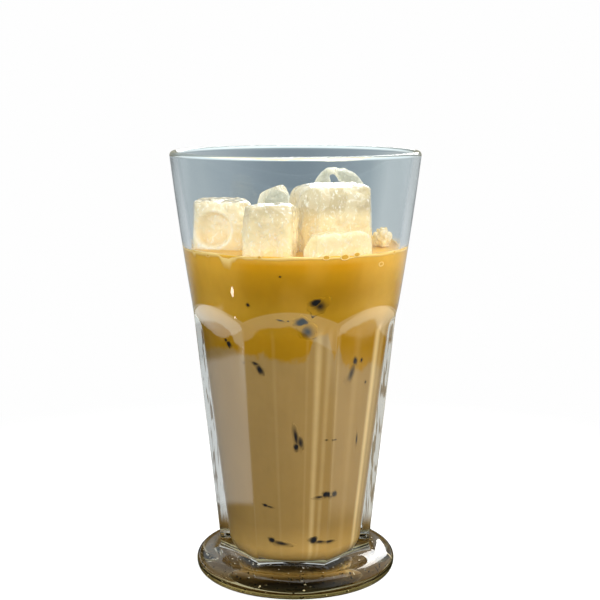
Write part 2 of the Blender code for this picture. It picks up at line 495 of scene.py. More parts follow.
@dataclass(frozen=True)
class DrinkTone:
    """Colour of the drink: milky low down, amber above an uneven border, streaked upright.

    The colour stops and the border are (place, colour) and (azimuth, height). A stripe of
    painted light is (azimuth, half width, strength).
    """

    amber: tuple = ((0.00, (152, 112, 16)), (0.30, (158, 116, 16)), (0.55, (182, 138, 32)),
                    (0.70, (176, 130, 24)), (0.88, (186, 136, 20)), (0.95, (200, 143, 18)),
                    (1.00, (222, 170, 64)))
    # The lowest milk stop is paler: painted light that lifts the dim bottom of the drink.
    milk: tuple = ((0.00, (200, 162, 90)), (0.09, (176, 142, 80)), (0.20, (148, 119, 67)),
                   (0.60, (149, 121, 72)), (1.00, (150, 122, 72)))
    border: tuple = (
        (-180, 80.0), (-130, 83.0), (-92, 79.0), (-72, 81.0), (-55, 82.0), (-40, 82.0),
        (-33, 81.0), (-24, 81.6), (-20.0, 80.6), (-14, 80.3), (-3, 79.3), (6, 80.2),
        (10.0, 81.6), (13.5, 88.0), (24, 88.5), (29.5, 80.0), (35, 77.0), (52, 74.5),
        (66, 76.5), (92, 73.0), (120, 81.0), (150, 78.0), (180, 80.0),
    )
    painted_light_stripes: tuple = ((17.4, 4.2, 0.27), (25.8, 3.4, 0.13), (9.0, 2.0, 0.05),
                      (72.0, 7.0, 0.64), (82.0, 9.0, 0.25), (-16.0, 2.4, 0.05),
                      (46.0, 6.0, 0.06), (-112.0, 9.0, 0.2), (160.0, 5.0, 0.2))

    def rise(self, nodes: Nodes) -> Socket:
        """Height over the border, which a ramp over the azimuth gives and noise roughens.

        Args:
            nodes: Nodes of the group.

        Returns:
            Metres, negative in the milky layer.
        """
        stops = []
        for azimuth, height in self.border:
            level = (height - 70.0) / 25.0
            stops.append(((azimuth + 180.0) / 360.0, (level, level, level, 1.0)))
        around = nodes.ramp(nodes.span(nodes.azimuth, -180.0, 180.0, smooth=False), stops)
        edge = nodes.math("MULTIPLY_ADD", around, 0.025, 0.070)
        rough = nodes.noise(nodes.place, 260.0, 4.0, 0.6)
        rough = nodes.math("MULTIPLY_ADD", rough, 0.0056, -0.0028)
        return nodes.math("ADD", nodes.math("SUBTRACT", nodes.xyz[2], edge), rough)

    def amber_tone(self, nodes: Nodes) -> Socket:
        """Colour of the upper layer, with pale clouds near its surface and painted light that makes
        its flanks paler there.

        Args:
            nodes: Nodes of the group.

        Returns:
            The colour.
        """
        z, degrees = nodes.xyz[2], nodes.azimuth
        above = nodes.span(z, 0.090, 0.099)
        wide = nodes.noise(nodes.stretch(nodes.place, (1.0, 1.0, 0.30)), 62.0, 1.5)
        return nodes.coats(
            nodes.tones(nodes.span(z, 0.0745, 0.1142, smooth=False), self.amber),
            (nodes.times(nodes.span(wide, 0.46, 0.62, 0.0, 0.42), above), (206, 158, 56)),
            # Painted light: paler flanks at the right and left near the surface.
            (nodes.times(nodes.span(degrees, 22.0, 72.0, 0.0, 0.9), above), (232, 186, 92)),
            (nodes.times(nodes.span(degrees, -20.0, -62.0, 0.0, 0.9), above), (222, 172, 62)))

    def group(self) -> Tree:
        """Build the node group that both layers, the foam and the sunk ice use.

        Light that the glass's arrises catch is painted on the drink as pale upright bands shaped
        like bells.

        Returns:
            Group with outputs Color and Clouds.
        """
        outputs = {"Color": "NodeSocketColor", "Clouds": "NodeSocketFloat"}
        group, nodes = new_group("drink_tone", outputs)
        z, place = nodes.xyz[2], nodes.place
        milk = nodes.tones(nodes.span(z, 0.006, 0.082, smooth=False), self.milk)
        upper = nodes.span(self.rise(nodes), -0.0011, 0.0013)
        tone = nodes.mix(upper, milk, self.amber_tone(nodes))
        # Painted light: pale upright bands where the arrises catch light.
        painted_stripe_light = 0.0
        for middle, width, gain in self.painted_light_stripes:
            stripe = nodes.span(nodes.gap(nodes.azimuth, middle), 0.0, width, gain, 0.0)
            painted_stripe_light = nodes.math("ADD", painted_stripe_light, stripe)
        painted_stripe_light = nodes.times(painted_stripe_light, nodes.span(z, 0.086, 0.094, 1.0, 0.0))
        tone = nodes.mix(painted_stripe_light, tone, linear(240, 214, 156))
        clouds = nodes.noise(place, 85.0, 4.0, 0.55)
        streaks = nodes.noise(nodes.stretch(place, (1.0, 1.0, 0.06)), 300.0, 3.0, 0.6)
        light = 0.78
        for noise, gain in ((clouds, 0.20), (nodes.noise(place, 420.0), 0.10), (streaks, 0.14)):
            light = nodes.math("MULTIPLY_ADD", noise, gain, light)
        grey = nodes.add("ShaderNodeCombineColor", {0: light, 1: light, 2: light}).outputs[0]
        shaded = nodes.mix(1.0, tone, grey, "MULTIPLY")
        nodes.add("NodeGroupOutput", {"Color": shaded, "Clouds": clouds})
        return group


@dataclass(frozen=True)
class FrostGrain:
    """Fine frost, cracks, flecks and melt swells of ice."""

    grain_scale: float = 900.0
    crack_scale: float = 95.0

    def group(self) -> Tree:
        """Build the node group that the two kinds of ice share.

        Cracks are the thin edges of cells whose coordinates are bent by slow noise.

        Returns:
            Group with outputs Mask, Flecks and Height.
        """
        outputs = dict.fromkeys(("Mask", "Flecks", "Height"), "NodeSocketFloat")
        group, nodes = new_group("frost_grain", outputs)
        place = nodes.place
        grain = nodes.noise(place, self.grain_scale, 4.0, 0.65)
        swell = nodes.noise(place, 150.0)
        bend = nodes.add("ShaderNodeTexNoise", {"Vector": place, "Scale": 220.0, "Detail": 3.0})
        pushed = nodes.add("ShaderNodeVectorMath", {0: bend.outputs["Color"], 1: (0.005,) * 3,
                                                    2: place}, operation="MULTIPLY_ADD").outputs[0]
        cells = nodes.add("ShaderNodeTexVoronoi", {"Vector": pushed, "Scale": self.crack_scale},
                          feature="DISTANCE_TO_EDGE")
        crack = nodes.times(nodes.span(cells.outputs["Distance"], 0.0, 0.05, 1.0, 0.0),
                            nodes.span(swell, 0.50, 0.60))
        drawn = nodes.stretch(pushed, (1.0, 1.0, 0.35))
        specks = nodes.span(nodes.noise(drawn, 1300.0, 3.0, 0.75), 0.55, 0.66)
        height = nodes.math("MULTIPLY_ADD", grain, 0.45, nodes.times(swell, 1.6))
        melted = nodes.span(swell, 0.42, 0.60, 0.0, 0.8)
        nodes.add("NodeGroupOutput", {
            "Mask": nodes.math("MULTIPLY_ADD", crack, 0.30, melted),
            "Flecks": nodes.math("MAXIMUM", specks, nodes.times(crack, 0.4)),
            "Height": nodes.math("MULTIPLY_ADD", crack, -0.05, height)})
        return group


@dataclass(frozen=True)
class GlassFinish:
    """Clear pressed glass with painted shade: faint grey-blue above the drink, olive in the foot.

    The light that its shoulders, arrises and lip catch is painted on as a faint glow.
    """

    refraction: float = 1.5
    roughness: float = 0.012
    shadow_light: float = 0.92
    arch_top: float = 0.0974
    arch_drop: float = 0.0041
    # Painted shade: faint grey-blue above the drink; the olive low down stands for the dark table
    # seen through the foot.
    tint: tuple = ((0.00, (176, 152, 80)), (0.040, (194, 173, 112)), (0.065, (246, 246, 242)),
                   (0.09, (251, 252, 252)), (0.74, (252, 252, 251)), (0.79, (243, 247, 249)),
                   (1.00, (241, 246, 249)))

    def panel_share(self, nodes: Nodes) -> Socket:
        """Place across the nearest panel, from -1 at its left corner to 1 at its right.

        Args:
            nodes: Nodes of the material.

        Returns:
            The share.
        """
        step = 360.0 / PANEL_COUNT
        shifted = nodes.math("ADD", nodes.azimuth, 360.0 - PANEL_TURN + 0.5 * step)
        return nodes.math("MULTIPLY_ADD", nodes.math("MODULO", shifted, step), 2.0 / step, -1.0)

    def painted_highlights(self, nodes: Nodes) -> Socket:
        """Painted highlights on the shoulders and arrises.

        Under each arch, which falls with the square of the share, lies a pale band with an
        uneven lower edge and a tail down the right corner. A thin line follows the arch, and
        one runs down each arris.

        Args:
            nodes: Nodes of the material.

        Returns:
            Strength, up to about one.
        """
        share, z = self.panel_share(nodes), nodes.xyz[2]
        arch = nodes.math("MULTIPLY_ADD", nodes.times(share, share), -self.arch_drop,
                          self.arch_top)
        depth = nodes.math("SUBTRACT", arch, z)
        deep = nodes.math("MULTIPLY_ADD", nodes.noise(nodes.place, 120.0), 0.0064, 0.0028)
        deep = nodes.math("ADD", deep, nodes.span(share, -0.1, 0.9, 0.0, 0.0045))
        band = nodes.span(nodes.math("SUBTRACT", deep, depth), 0.0, 0.0014)
        tail = nodes.times(nodes.span(share, 0.72, 0.97, 0.0, 0.8),
                           nodes.span(depth, 0.0, 0.034, 1.0, 0.0))
        band = nodes.times(nodes.math("MAXIMUM", band, tail), nodes.span(depth, 0.0, 0.0006))
        line = nodes.span(nodes.gap(depth, 0.0003), 0.0, 0.0005, 0.45, 0.0)
        arris = nodes.times(nodes.span(nodes.math("ABSOLUTE", share), 0.972, 1.0, 0.0, 0.30),
                            nodes.span(z, 0.090, 0.093, 1.0, 0.0), nodes.span(z, 0.014, 0.018))
        return nodes.math("ADD", nodes.math("ADD", band, line), arris)

    def material(self) -> Material:
        """Build the material, whose painted glow stays off the inner wall.

        Returns:
            Glass that lets light through in its shadow.
        """
        material, nodes, shader = new_material("glass_clear")
        z, reach = nodes.xyz[2], nodes.reach
        over_cone = nodes.math("SUBTRACT", reach, nodes.times(z, 0.10))
        facing = nodes.add("ShaderNodeLayerWeight", {"Blend": 0.5}).outputs["Facing"]
        # Painted highlights: a faint glow on the shoulders, arrises and lip, stronger at grazing
        # view.
        painted_glow = nodes.times(
            self.painted_highlights(nodes), nodes.span(facing, 0.15, 0.60, 0.064, 0.135),
            nodes.span(reach, 0.0235, 0.0240), nodes.span(over_cone, 0.0205, 0.0212))
        painted_glow = nodes.math("ADD", painted_glow, nodes.span(z, 0.1452, 0.1458, 0.0, 0.26))
        set_glow(material, nodes.coats(BLACK, (painted_glow, (232, 250, 246))))
        nodes.fill(shader, {
            "Base Color": nodes.tones(nodes.span(z, 0.0, 0.15, smooth=False), self.tint),
            "Normal": nodes.bump(nodes.noise(nodes.place, 60.0, 1.0), 0.06, 0.001),
            "Metallic": 0.0, "Roughness": self.roughness, "IOR": self.refraction,
            "Transmission Weight": 1.0})
        clear_shadow(material, self.shadow_light)
        return material


@dataclass(frozen=True)
class DrinkFinish:
    """Smooth liquid seen through the glass, with the drink's tone by height."""

    name: str
    tone: Tree
    depth: float

    def material(self) -> Material:
        """Build the material of one layer.

        Where the thick sides of the glass mirror the drink's back half, a painted reflection makes
        it shine pale with fine upright lines, as the broken light in those sides does.

        Returns:
            Liquid that light enters a little way.
        """
        material, nodes, shader = new_material(self.name)
        tone = nodes.add("ShaderNodeGroup", node_tree=self.tone).outputs
        _, y, z = nodes.xyz
        path = nodes.add("ShaderNodeLightPath").outputs
        upright = nodes.stretch(nodes.place, (1.0, 1.0, 0.02))
        # Painted reflection: a pale glow on the back half, seen only in mirrored rays.
        mirrored = nodes.times(
            path["Is Reflection Ray"], nodes.math("LESS_THAN", path["Ray Depth"], 2.5),
            nodes.span(z, 0.012, 0.018, 0.0, 0.60), nodes.span(y, -0.004, 0.004),
            nodes.span(nodes.noise(upright, 800.0, 2.0), 0.54, 0.60, 1.0, 0.15))
        set_glow(material, nodes.coats(BLACK, (mirrored, (212, 226, 232))))
        nodes.fill(shader, {
            "Base Color": tone["Color"], "Normal": nodes.bump(tone["Clouds"], 0.10, 0.001),
            "Roughness": 0.30, "IOR": 1.34, "Specular IOR Level": 0.25,
            "Subsurface Weight": self.depth, "Subsurface Radius": (1.0, 0.7, 0.35),
            "Subsurface Scale": 0.002})
        return material


@dataclass(frozen=True)
class FrostedIceFinish:
    """Milky frosted ice, warm in tone and wet, with a faint painted glow."""

    grain: Tree
    # The body darkens towards the top: painted shade that holds down the light on the tops.
    body: tuple = ((0.0, (250, 228, 166)), (0.25, (246, 224, 170)), (0.55, (232, 211, 160)),
                   (0.70, (196, 180, 142)), (1.0, (188, 174, 138)))

    def material(self) -> Material:
        """Build the material, which reads the piece's warm and hollow_lip_highlight values.

        Returns:
            Cream ice with frost, wet on its surface.
        """
        material, nodes, shader = new_material("ice_frosted_warm")
        grain = nodes.add("ShaderNodeGroup", node_tree=self.grain).outputs
        x, _, z = nodes.xyz
        facing = nodes.add("ShaderNodeLayerWeight", {"Blend": 0.35}).outputs["Facing"]
        # Painted light: the left block is paler below its top.
        left = nodes.times(nodes.span(x, -0.010, -0.020, 0.0, 0.6),
                           nodes.span(z, 0.125, 0.130, 1.0, 0.0))
        pale = nodes.coats(
            nodes.tones(nodes.span(z, 0.112, 0.136, smooth=False), self.body),
            (left, (250, 238, 202)),
            (nodes.times(nodes.carried("warm"), 0.5), (236, 190, 98)),
            (nodes.times(grain["Mask"], 0.4), (240, 228, 194)),
            # Painted highlight: a pale line round the hollow's edge.
            (nodes.times(nodes.carried("hollow_lip_highlight"), 0.6), (255, 252, 236)),
            (nodes.times(grain["Flecks"], 0.8), (255, 253, 242)),
            # Painted shade: darker golden where the surface turns away at the outline.
            (nodes.span(facing, 0.55, 0.95, 0.0, 0.25), (236, 206, 142)))
        # Painted light: the ice glows faintly in its own colour.
        nodes.fill(shader, {
            "Base Color": pale, "Emission Color": pale, "Emission Strength": 0.165,
            "Normal": nodes.bump(grain["Height"], 0.35, 0.0009),
            "Roughness": nodes.span(grain["Mask"], 0.0, 1.0, 0.18, 0.42), "IOR": 1.31,
            "Transmission Weight": 0.22, "Subsurface Weight": 0.35,
            "Subsurface Radius": (1.0, 0.85, 0.55), "Subsurface Scale": 0.006,
            "Coat Weight": 0.9, "Coat Roughness": 0.05})
        return material


@dataclass(frozen=True)
class ClearIceFinish:
    """Clear wet ice with frosted patches and a painted glow that is brightest at its edges."""

    grain: Tree

    def material(self) -> Material:
        """Build the material.

        Returns:
            Ice that shows what is behind it, with light passing in its shadow.
        """
        material, nodes, shader = new_material("ice_clear_wet")
        grain = nodes.add("ShaderNodeGroup", node_tree=self.grain).outputs
        facing = nodes.add("ShaderNodeLayerWeight", {"Blend": 0.5}).outputs["Facing"]
        # Painted highlight: a glow along the edges and flecks, over a dim painted glow everywhere.
        edge = nodes.math("MAXIMUM", nodes.span(facing, 0.40, 0.85, 0.0, 0.28),
                          nodes.times(grain["Flecks"], 0.22))
        set_glow(material, nodes.coats(linear(92, 87, 68), (edge, (255, 250, 232))))
        flecks = nodes.times(grain["Flecks"], 0.8)
        nodes.fill(shader, {
            "Base Color": nodes.coats(linear(236, 230, 208), (flecks, (255, 254, 248))),
            "Normal": nodes.bump(grain["Height"], 0.7, 0.0014),
            "Roughness": nodes.span(grain["Mask"], 0.1, 0.9, 0.03, 0.35),
            "IOR": 1.22, "Transmission Weight": 0.93})
        clear_shadow(material, 0.9)
        return material


@dataclass(frozen=True)
class SunkIceFinish:
    """Dark window of sunk ice against the glass, fading into the drink at its edge."""

    tone: Tree

    def material(self) -> Material:
        """Build the material, which reads the piece's shade and tint values.

        Returns:
            Near black at the core, the drink's own tone at the edge.
        """
        material, nodes, shader = new_material("sunk_ice_window")
        tone = nodes.add("ShaderNodeGroup", node_tree=self.tone)
        core = nodes.coats(linear(28, 24, 18), (nodes.carried("tint"), (34, 44, 56)))
        nodes.fill(shader, {
            "Base Color": nodes.mix(nodes.carried("shade"), core, tone.outputs["Color"]),
            "Roughness": 0.6, "IOR": 1.34, "Specular IOR Level": 0.05})
        return material


@dataclass(frozen=True)
class FoamFinish:
    """Pale foam, cream where it is thick and amber where it is thin."""

    tone: Tree

    def material(self) -> Material:
        """Build the material, which reads the piece's shade value.

        Returns:
            Foam with fine grain.
        """
        material, nodes, shader = new_material("foam")
        tone = nodes.add("ShaderNodeGroup", node_tree=self.tone).outputs["Color"]
        nodes.fill(shader, {
            "Base Color": nodes.mix(nodes.carried("shade"), linear(255, 226, 150), tone),
            "Normal": nodes.bump(nodes.noise(nodes.place, 1500.0, 2.0), 0.2, 0.0003),
            "Roughness": 0.35})
        return material


@dataclass
class GlassShell:
    """Pressed glass: round cone above, seven flat panels below, heavy ring foot.

    Pairs are a radius with its height: where the cone and the body start, the foot's crest,
    and the inside's floor, foot of the wall, and start and end of the step in the wall.
    """

    finish: GlassFinish
    height: float = 146.7
    rim_radius: float = 42.5
    rim_inner: float = 40.3
    rim_spring: float = 145.3
    cone_foot: tuple = (35.5, 95.0)
    body_foot: tuple = (27.06, 15.0)
    panel_ratio: float = 0.905
    panel_top: float = 92.6
    scoop_depth: float = 3.6
    shoulder_rise: float = 2.0
    foot_radius: float = 34.8
    foot_widest: float = 3.8
    foot_crest: tuple = (30.4, 7.7)
    foot_under: float = 31.8
    inside_floor: tuple = (8.4, 6.6)
    inside_low: tuple = (17.2, 13.2)
    inside_step: tuple = (26.4, 89.0)
    inside_high: tuple = (35.3, 112.0)
    inside_top: float = 145.2
    cols: int = 336

    def corner_radius(self, z: np.ndarray) -> np.ndarray:
        """Radius of the panel corners, a straight line in height."""
        slope = (self.cone_foot[0] - self.body_foot[0]) / (self.cone_foot[1] - self.body_foot[1])
        return self.body_foot[0] + (z - self.body_foot[1]) * slope

    def turned_radius(self, z: np.ndarray) -> np.ndarray:
        """Radius before the panels: a gently curved cone above, the corner line below.

        The cone widens with the height over its foot, less a little of that height's square.

        Args:
            z: Heights.

        Returns:
            Radii.
        """
        over = z - self.cone_foot[1]
        cone = self.cone_foot[0] + 0.16203 * over - 0.000454 * over * over
        return np.where(z > self.cone_foot[1], cone, self.corner_radius(z))

    def panel_limit(self, z: np.ndarray, off: np.ndarray) -> np.ndarray:
        """Distance of the panel plane, and above it of the scooped shoulder, from the axis.

        The shoulder starts lowest in the middle of the panel and climbs to its corners with
        the square of the angle from the middle.

        Args:
            z: Heights.
            off: Angles from the middle of the panel in radians.

        Returns:
            Distances.
        """
        flat = self.panel_ratio * self.corner_radius(z)
        at_top = self.panel_ratio * self.corner_radius(np.array(self.panel_top))
        share = np.minimum(np.abs(off) * PANEL_COUNT / np.pi, 1.0) ** 2
        start = self.panel_top - self.scoop_depth * (1.0 - share)
        shoulder = at_top + (z - start) / self.shoulder_rise
        return smooth_max(flat, shoulder, 0.5)

    def body_radius(self, azimuth: np.ndarray, z: np.ndarray) -> np.ndarray:
        """Outer radius: the rounded lower of the turned shape and the nearest panel.

        The panel's radius is its distance over the cosine of the angle from its middle.

        Args:
            azimuth: Azimuths in radians.
            z: Heights of the same shape.

        Returns:
            Radii of the same shape.
        """
        step = 2.0 * np.pi / PANEL_COUNT
        turn = math.radians(PANEL_TURN)
        off = (azimuth - turn + 0.5 * step) % step - 0.5 * step
        near = self.panel_limit(z, off) / np.cos(off)
        beside = self.panel_limit(z, step - np.abs(off)) / np.cos(np.abs(off) - step)
        panels = smooth_min(near, beside, 0.14)
        return smooth_min(self.turned_radius(z), panels, 0.16)

    def inner_radius(self, z: np.ndarray) -> np.ndarray:
        """Radius of the inside wall: two straight tapers joined by an eased step.

        Args:
            z: Heights.

        Returns:
            Radii.
        """
        low_r, low_z = self.inside_low
        step_r, step_z = self.inside_step
        high_r, high_z = self.inside_high
        lower = low_r + (z - low_z) * (step_r - low_r) / (step_z - low_z)
        upper = high_r + (z - high_z) * (self.rim_inner - high_r) / (self.inside_top - high_z)
        return lower + (upper - lower) * smooth_step(88.5, 111.0, z)

    def inside_rows(self, spread: float = 0.0) -> tuple[np.ndarray, np.ndarray]:
        """Rows of the inside from the floor's middle to below the rim.

        The floor turns up into the wall along a quarter ellipse.

        Args:
            spread: Distance by which the rows move into the wall and floor.

        Returns:
            Radii and heights.
        """
        flat = np.array([2.0, 4.0, 6.0, 8.0])
        floor_r, floor_z = self.inside_floor
        low_r, low_z = self.inside_low
        bend = np.linspace(0.0, np.pi / 2.0, 13)
        bend_r = floor_r + (low_r - floor_r) * np.sin(bend)
        bend_z = low_z - (low_z - floor_z) * np.cos(bend)
        wall_z = np.concatenate([np.arange(15.0, 87.0, 3.0), np.arange(88.0, 112.0, 0.8),
                                 np.arange(113.0, 144.0, 3.0), np.array([144.3, 144.9, 145.15])])
        radius = np.concatenate([flat, bend_r, self.inner_radius(wall_z)])
        height = np.concatenate([np.full(len(flat), floor_z), bend_z, wall_z])
        lean = np.concatenate([np.zeros(len(flat)), np.sin(bend), np.ones(len(wall_z))])
        return radius + spread * lean, height - spread * (1.0 - lean)

    def azimuths(self) -> np.ndarray:
        """Azimuths of the columns, closer together at the arrises between panels.

        Returns:
            Radians, one for each column.
        """
        share = self.cols // PANEL_COUNT
        u = (np.arange(share) + 0.5) / share * 2.0 - 1.0
        eased = np.sign(u) * (1.0 - (1.0 - np.abs(u)) ** 1.45)
        step = 2.0 * np.pi / PANEL_COUNT
        starts = math.radians(PANEL_TURN) + np.arange(PANEL_COUNT) * step
        return (starts[:, None] + 0.5 * step * eased[None, :]).ravel()

    def lip_rows(self) -> tuple[np.ndarray, np.ndarray]:
        """Rows over the lip from the inside to the outside, along half an ellipse.

        Returns:
            Radii and heights.
        """
        turn = np.linspace(np.pi, 0.0, 13)
        middle = 0.5 * (self.rim_inner + self.rim_radius)
        half = 0.5 * (self.rim_radius - self.rim_inner)
        rise = self.height - self.rim_spring
        return middle + half * np.cos(turn), self.rim_spring + rise * np.sin(turn)

    def body_rows(self, azimuth: np.ndarray) -> tuple[np.ndarray, np.ndarray]:
        """Rows down the outside, and along a quarter ellipse out to the foot's crest.

        Args:
            azimuth: Azimuths of the columns in radians.

        Returns:
            Grids of radii and heights.
        """
        body_z = np.concatenate([np.array([145.15, 144.9, 144.3]), np.arange(143.0, 101.0, -3.0),
                                 np.arange(100.5, 87.4, -0.28), np.arange(86.0, 14.0, -3.0),
                                 np.array([12.5, 11.2, 10.2])])
        grid_z = rings(body_z, self.cols)
        body = self.body_radius(np.broadcast_to(azimuth, grid_z.shape), grid_z)
        turn = np.linspace(0.0, np.pi / 2.0, 9)[1:, None]
        crest_r, crest_z = self.foot_crest
        fillet_r = body[-1] + (crest_r - body[-1]) * (1.0 - np.cos(turn))
        fillet_z = crest_z + (body_z[-1] - crest_z) * (1.0 - np.sin(turn))
        fillet_z = np.broadcast_to(fillet_z, fillet_r.shape)
        return np.concatenate([body, fillet_r]), np.concatenate([grid_z, fillet_z])

    def foot_rows(self) -> tuple[np.ndarray, np.ndarray]:
        """Rows of the foot: two quarter ellipses, crest to widest ring to sole, and the sole.

        Returns:
            Radii and heights.
        """
        over = np.linspace(0.0, np.pi / 2.0, 11)[1:]
        under = np.linspace(0.0, np.pi / 2.0, 10)[1:]
        crest_r, crest_z = self.foot_crest
        wide, wide_z, sole = self.foot_radius, self.foot_widest, self.foot_under
        flat = np.array([30.0, 22.0, 12.0, 4.0])
        radius = np.concatenate([crest_r + (wide - crest_r) * np.sin(over),
                                 sole + (wide - sole) * np.cos(under), flat])
        height = np.concatenate([wide_z + (crest_z - wide_z) * np.cos(over),
                                 wide_z - wide_z * np.sin(under), np.zeros(len(flat))])
        return radius, height

    def build(self) -> None:
        """Build the glass as one closed surface that replaces its solid."""
        azimuth = self.azimuths()
        around = [tuple(rings(values, self.cols) for values in rows)
                  for rows in (self.inside_rows(), self.lip_rows(), self.foot_rows())]
        radius, height = zip(*around[:2], self.body_rows(azimuth), around[2])
        surface = lathe_surface(np.concatenate(radius), np.concatenate(height), self.cols, azimuth)
        piece = write_object("glass_shell", surface.outward(), self.finish.material())
        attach(piece, "root")
        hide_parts("glass")


@dataclass
class Drink:
    """Two layers of coffee that reach just into the wall of the glass."""

    shell: GlassShell
    milk_finish: DrinkFinish
    top_finish: DrinkFinish
    border: float = 81.0
    level: float = 114.2
    reach: float = 0.14
    climb: float = 0.9
    climb_width: float = 1.6
    ripple: float = 0.25
    cols: int = 192

    def wall_radius(self, z: np.ndarray) -> np.ndarray:
        """Radius of the drink's side, just inside the glass."""
        return self.shell.inner_radius(z) + self.reach

    def build_milk(self) -> None:
        """Build the milky lower layer."""
        inner_r, inner_z = self.shell.inside_rows(self.reach)
        keep = inner_z < self.border - 1.5
        corner = self.border - np.array([0.4, 0.12, 0.03])
        top_r = self.wall_radius(np.array([self.border]))
        lid = np.concatenate([top_r - np.array([0.0, 0.03, 0.12, 0.5]),
                              top_r * np.array([0.9, 0.6, 0.3, 0.1])])
        radius = np.concatenate([inner_r[keep], self.wall_radius(corner), lid])
        height = np.concatenate([inner_z[keep], corner, np.full(8, self.border)])
        surface = lathe_surface(rings(radius, self.cols), rings(height, self.cols), self.cols)
        piece = write_object("coffee_milk_layer", surface.outward(),
                             self.milk_finish.material())
        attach(piece, "root")
        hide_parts("coffee_milk")

    def build_top(self) -> None:
        """Build the amber upper layer, whose surface climbs a little at the glass.

        The climb falls with the exponential of the distance from the wall over the climb's
        width, and slow ripples, a sine times a cosine, run over the rest.
        """
        side_z = np.concatenate([self.border + np.array([0.0, 0.03, 0.12, 0.4]),
                                 np.arange(83.0, 88.0, 1.5), np.arange(88.5, 112.0, 1.0),
                                 np.arange(112.5, 114.6, 0.5)])
        side_r = self.wall_radius(side_z)
        edge = self.wall_radius(np.array(self.level + 0.8))
        lid_r = edge - np.array([0.0, 0.4, 0.9, 1.6, 2.6, 4.0, 6.0, 9.0, 13.0, 18.0, 24.0, 30.0,
                                 34.0])
        azimuth = full_turn(self.cols)
        x = lid_r[:, None] * np.sin(azimuth)
        y = -lid_r[:, None] * np.cos(azimuth)
        climb = self.climb * np.exp(-(edge - lid_r)[:, None] / self.climb_width)
        ripple = self.ripple * np.sin(x * 0.31 + 0.8) * np.cos(y * 0.27 - 0.4)
        lid_z = self.level + climb + ripple
        floor_r = np.concatenate([side_r[0] * np.array([0.1, 0.4, 0.8]),
                                  side_r[0] - np.array([0.5, 0.12, 0.03])])
        radius = rings(np.concatenate([floor_r, side_r, lid_r]), self.cols)
        height = rings(np.concatenate([np.full(6, self.border), side_z]), self.cols)
        surface = lathe_surface(radius, np.concatenate([height, lid_z]), self.cols)
        piece = write_object("coffee_top_layer", surface.outward(),
                             self.top_finish.material())
        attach(piece, "root")
        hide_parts("coffee_top")


def ripple_field(points: np.ndarray, seed: int, length: float, terms: int = 14) -> np.ndarray:
    """Smooth unevenness: the mean of cosines along seeded random directions.

    Args:
        points: Places in millimetres.
        seed: Seed of the directions and phases.
        length: Typical wave length in millimetres.
        terms: Number of cosines.

    Returns:
        One value a point, about -1 to 1.
    """
    draw = np.random.default_rng(seed)
    ways = draw.normal(size=(terms, 3))
    ways /= np.linalg.norm(ways, axis=1)[:, None]
    pace = 2.0 * np.pi / (length * draw.uniform(0.6, 1.6, terms))
    phase = draw.uniform(0.0, 2.0 * np.pi, terms)
    waves = np.cos(points @ ways.T * pace + phase)
    return waves.sum(axis=1) / math.sqrt(terms / 2.0) * 0.6


def ball_grid(rows: int, cols: int) -> tuple[np.ndarray, np.ndarray, np.ndarray]:
    """Unit ball as a grid with two poles.

    Args:
        rows: Rings between the poles.
        cols: Points in each ring.

    Returns:
        Points, quads and triangles.
    """
    polar = (np.arange(rows) + 1.0) * np.pi / (rows + 1.0)
    around = full_turn(cols)
    ring = np.stack([np.outer(np.sin(polar), np.cos(around)),
                     np.outer(np.sin(polar), np.sin(around)),
                     np.outer(np.cos(polar), np.ones(cols))], axis=2).reshape(-1, 3)
    points = np.concatenate([ring, [[0.0, 0.0, 1.0], [0.0, 0.0, -1.0]]])
    fans = [fan_faces(np.arange(cols), rows * cols, False),
            fan_faces((rows - 1) * cols + np.arange(cols), rows * cols + 1, True)]
    return points, grid_faces(rows, cols), np.concatenate(fans)


@dataclass(frozen=True)
class Hollow:
    """Shallow round hollow: the middle of its mouth, its inward axis, radius and depth."""

    mouth: tuple
    axis: tuple
    radius: float
    depth: float

    def press(self, points: np.ndarray) -> tuple[np.ndarray, np.ndarray, np.ndarray]:
        """Press the hollow into the points in front of it.

        The depth eases off over the last 1.4 mm before the edge, and a bell-shaped lip of
        0.22 mm stands up round it.

        Args:
            points: Places on the block.

        Returns:
            The moved points, how warm each is, and a painted highlight that is strongest near the
            hollow's edge, from 0 to 1.
        """
        inwards = np.array(self.axis) / np.linalg.norm(self.axis)
        rel = points - np.array(self.mouth)
        along = rel @ inwards
        off = np.linalg.norm(rel - along[:, None] * inwards, axis=1) - self.radius
        front = smooth_step(5.0, 3.0, along)
        dip = front * smooth_step(0.3, -1.1, off)
        lip = front * np.exp(-((off - 0.5) / 0.45) ** 2)
        points = points + inwards * (self.depth * dip - 0.22 * lip)[:, None]
        warm = dip * smooth_step(self.mouth[2] + 1.0, self.mouth[2] - 5.0, points[:, 2])
        # The last value is a painted highlight along the hollow's edge.
        return points, warm, front * np.exp(-((off - 0.2) / 0.36) ** 2)


